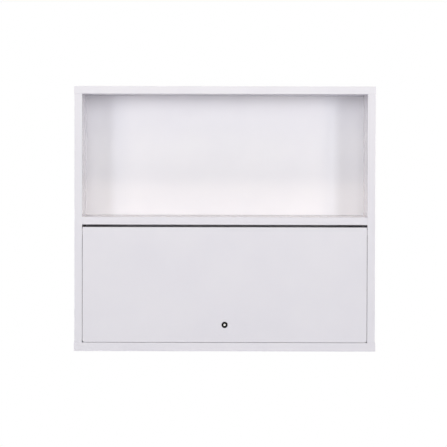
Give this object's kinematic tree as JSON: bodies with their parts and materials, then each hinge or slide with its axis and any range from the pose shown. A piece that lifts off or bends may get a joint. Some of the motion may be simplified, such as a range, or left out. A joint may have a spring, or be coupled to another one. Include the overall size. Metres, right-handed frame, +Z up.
{
  "type": "wall cabinet",
  "caption": "Shallow white wall cabinet with an open niche above and a compartment below, closed by an inset lift-up flap with a cam lock.",
  "frame": {"origin": "centre of the back panel's wall side, at half the cabinet's height", "axes": "+X to the right seen from the front, +Y from the front into the wall, +Z up"},
  "size_m": [0.7026, 0.1816, 0.6168],
  "materials": {
    "board_white": "white melamine faced board, satin",
    "back_white": "white faced back panel, satin",
    "band_white": "white edge band, satin",
    "zinc_steel": "zinc plated",
    "nylon_white": "moulded nylon",
    "buffer_clear": "soft translucent rubber",
    "lock_black": "black, semi gloss",
    "plug_nickel": "bright nickel"
  },
  "bodies": {
    "carcass": {"top_panel": "board_white", "bottom_panel": "board_white", "left_side_panel": "board_white", "right_side_panel": "board_white", "middle_shelf": "board_white", "upper_fixing_rail": "board_white", "lower_fixing_rail": "board_white", "left_stop_strip": "board_white", "right_stop_strip": "board_white", "back_panel": "back_white", "top_front_band": "band_white", "bottom_front_band": "band_white", "shelf_front_band": "band_white", "left_front_band": "band_white", "right_front_band": "band_white", "top_left_end_band": "band_white", "top_right_end_band": "band_white", "bottom_left_end_band": "band_white", "bottom_right_end_band": "band_white", "keeper_plate": "zinc_steel", "left_pivot_bush": "nylon_white", "right_pivot_bush": "nylon_white", "left_flap_buffer": "buffer_clear", "right_flap_buffer": "buffer_clear"},
    "flap": {"flap_panel": "board_white", "flap_wrap_band": "band_white", "flap_top_band": "band_white", "left_pivot_pin": "zinc_steel", "right_pivot_pin": "zinc_steel", "lock_housing": "lock_black", "lock_nut": "zinc_steel"},
    "lock": {"lock_plug": "plug_nickel", "lock_cam": "zinc_steel"}
  },
  "joints": [
    {"name": "flap_hinge", "type": "hinge", "parent": "carcass", "child": "flap", "pos_m": [0, -0.171, -0.0314], "axis": [-1, 0, 0], "range_deg": [0, 90]},
    {"name": "lock_turn", "type": "hinge", "parent": "flap", "child": "lock", "pos_m": [0, -0.165, -0.2468], "axis": [0, 1, 0], "range_deg": [0, 90]}
  ]
}
